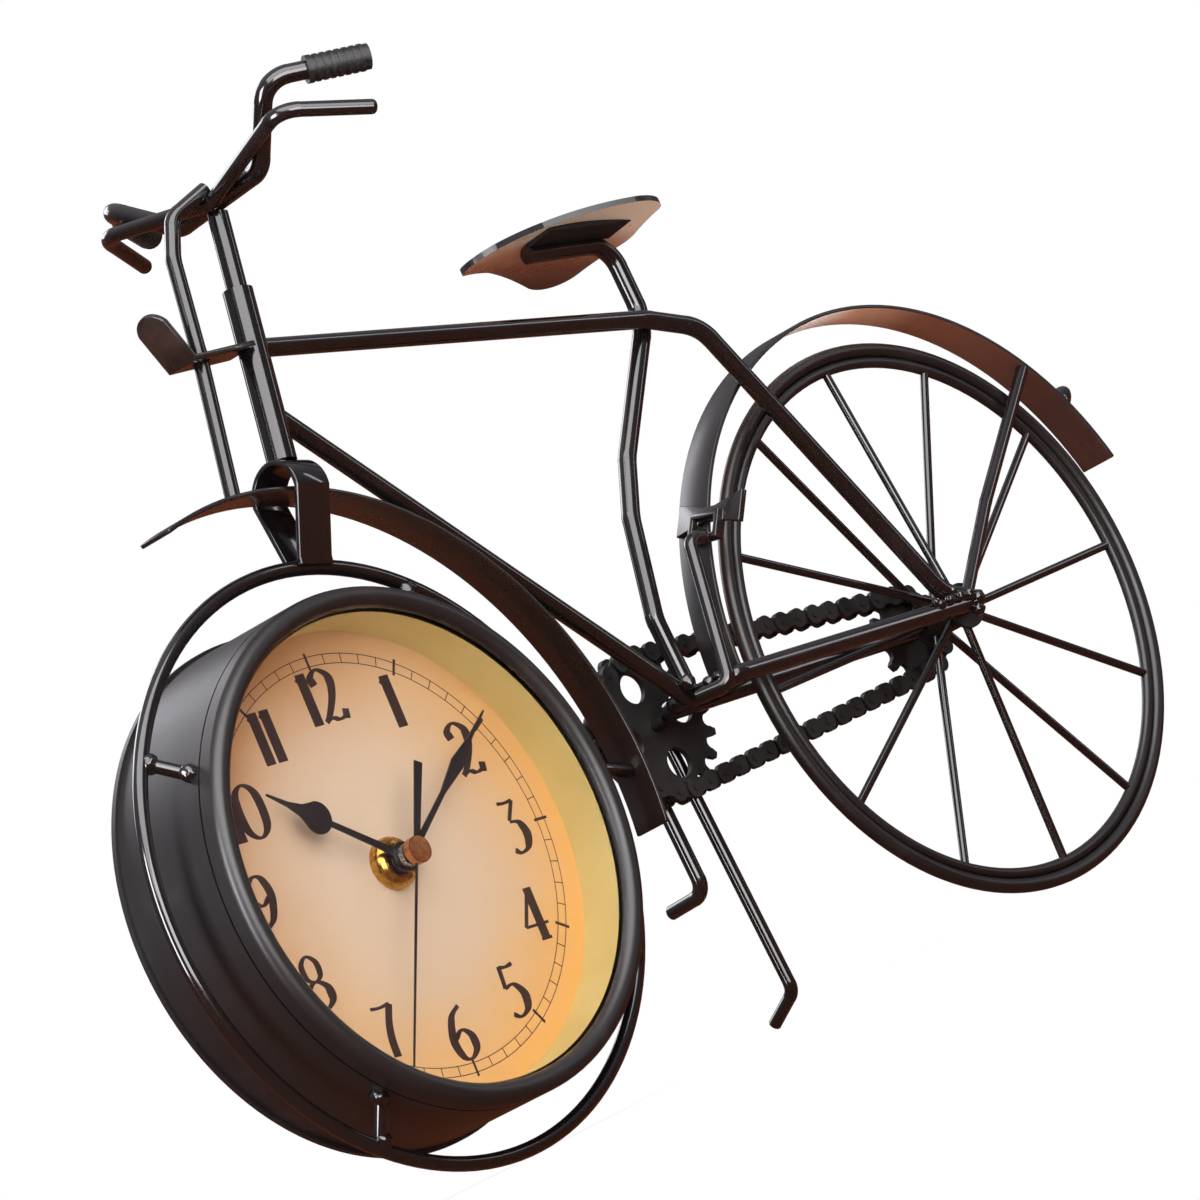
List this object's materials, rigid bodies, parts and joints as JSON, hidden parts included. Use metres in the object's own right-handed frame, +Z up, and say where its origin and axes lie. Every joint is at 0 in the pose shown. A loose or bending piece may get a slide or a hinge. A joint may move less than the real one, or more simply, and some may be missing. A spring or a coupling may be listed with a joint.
{
  "type": "desk clock",
  "caption": "Desk clock in the form of a bicycle made of bent iron rod, with a round drum clock hung in the front ring, a spoked rear wheel, a roller chain and a stand.",
  "frame": {"origin": "on the floor under the centre of the front ring, where the ring touches it", "axes": "+X from the clock to the rear wheel, +Y away from the dial's side, +Z up"},
  "size_m": [0.3976, 0.1071, 0.2769],
  "materials": {
    "iron": "gloss black enamel on bent iron rod and sheet",
    "chain_iron": "gloss black enamel over steel links",
    "grip": "satin black ribbed sleeve",
    "saddle_paint": "gloss dark enamel on domed sheet",
    "light": "gloss dark enamel",
    "glass": "clear flat glass",
    "liner": "cream painted inner ring",
    "dial": "printed card dial, peach centre and orange edge",
    "screw": "plated steel",
    "case": "moulded black",
    "battery": "plain wrapped steel can",
    "contact": "nickel plated spring steel",
    "copper": "enamelled copper winding on a bobbin",
    "core": "soft iron",
    "board": "green board with a dark chip",
    "train": "moulded natural white",
    "brass": "turned brass",
    "hand": "gloss black"
  },
  "bodies": {
    "frame": {"front_ring": "iron", "ring_pins": "iron", "fork_strap": "iron", "head_tube": "iron", "steerer": "iron", "handlebar": "iron", "brake_lever_bar": "iron", "front_brake_rod": "iron", "lamp_bracket": "iron", "top_tube_and_stay": "iron", "down_tube": "iron", "seat_tube": "iron", "saddle_plate": "iron", "chain_stays": "iron", "front_fender": "iron", "front_fender_bridge": "iron", "rear_fender": "iron", "fender_stay": "iron", "brake_plate": "iron", "rear_brake_rod": "iron", "sprocket": "iron", "crank": "iron", "kickstand": "iron", "rear_axle": "iron", "rear_cog": "iron", "drum_shell": "iron", "bezel": "iron", "back_cover": "iron", "chain_inner_links": "chain_iron", "chain_outer_links": "chain_iron", "handlebar_grips": "grip", "saddle": "saddle_paint", "tail_light": "light", "glass": "glass", "liner_ring": "liner", "dial": "dial", "cover_screws": "screw", "case_front": "case", "case_back": "case", "battery": "battery", "battery_contacts": "contact", "coil": "copper", "stator": "core", "circuit_board": "board", "shaft_nut": "brass"},
    "rear_wheel": {"tyre_hoop": "iron", "rim_hoop": "iron", "rear_spokes": "iron", "rear_hub": "iron"},
    "seconds": {"second_wheel": "train", "second_hand": "hand"},
    "minutes": {"minute_arbor": "brass", "minute_hand": "hand"},
    "hours": {"hour_wheel": "train", "hour_hand": "hand"},
    "knob": {"setting_knob": "case"},
    "rotor": {"rotor": "core"},
    "intermediate": {"intermediate_wheel": "train"},
    "third": {"third_wheel": "train"},
    "centre": {"centre_wheel": "train"}
  },
  "joints": [
    {"name": "rear_wheel_spin", "type": "hinge", "parent": "frame", "child": "rear_wheel", "pos_m": [0.2282, 0, 0.079], "axis": [0, 1, 0], "continuous": true},
    {"name": "second_spin", "type": "hinge", "parent": "frame", "child": "seconds", "pos_m": [0, 0, 0.082], "axis": [0, 1, 0], "continuous": true},
    {"name": "intermediate_spin", "type": "hinge", "parent": "frame", "child": "intermediate", "pos_m": [0.0024, 0, 0.08616], "axis": [0, 1, 0], "continuous": true},
    {"name": "rotor_spin", "type": "hinge", "parent": "frame", "child": "rotor", "pos_m": [0.00766, 0, 0.08807], "axis": [0, 1, 0], "continuous": true},
    {"name": "third_spin", "type": "hinge", "parent": "frame", "child": "third", "pos_m": [-0.0068, 0, 0.082], "axis": [0, 1, 0], "continuous": true},
    {"name": "centre_spin", "type": "hinge", "parent": "frame", "child": "centre", "pos_m": [0, 0, 0.082], "axis": [0, 1, 0], "continuous": true},
    {"name": "minute_spin", "type": "hinge", "parent": "frame", "child": "minutes", "pos_m": [0, 0, 0.082], "axis": [0, 1, 0], "continuous": true},
    {"name": "hour_spin", "type": "hinge", "parent": "frame", "child": "hours", "pos_m": [0, 0, 0.082], "axis": [0, 1, 0], "continuous": true},
    {"name": "knob_spin", "type": "hinge", "parent": "frame", "child": "knob", "pos_m": [0.009, 0, 0.082], "axis": [0, 1, 0], "continuous": true}
  ],
  "couplings": [
    {"joint": "intermediate_spin", "follows": "second_spin", "ratio": -5},
    {"joint": "rotor_spin", "follows": "second_spin", "ratio": 30},
    {"joint": "third_spin", "follows": "second_spin", "ratio": -0.13333},
    {"joint": "centre_spin", "follows": "second_spin", "ratio": 0.016667},
    {"joint": "hour_spin", "follows": "minute_spin", "ratio": 0.083333},
    {"joint": "knob_spin", "follows": "minute_spin", "ratio": -0.33333}
  ]
}
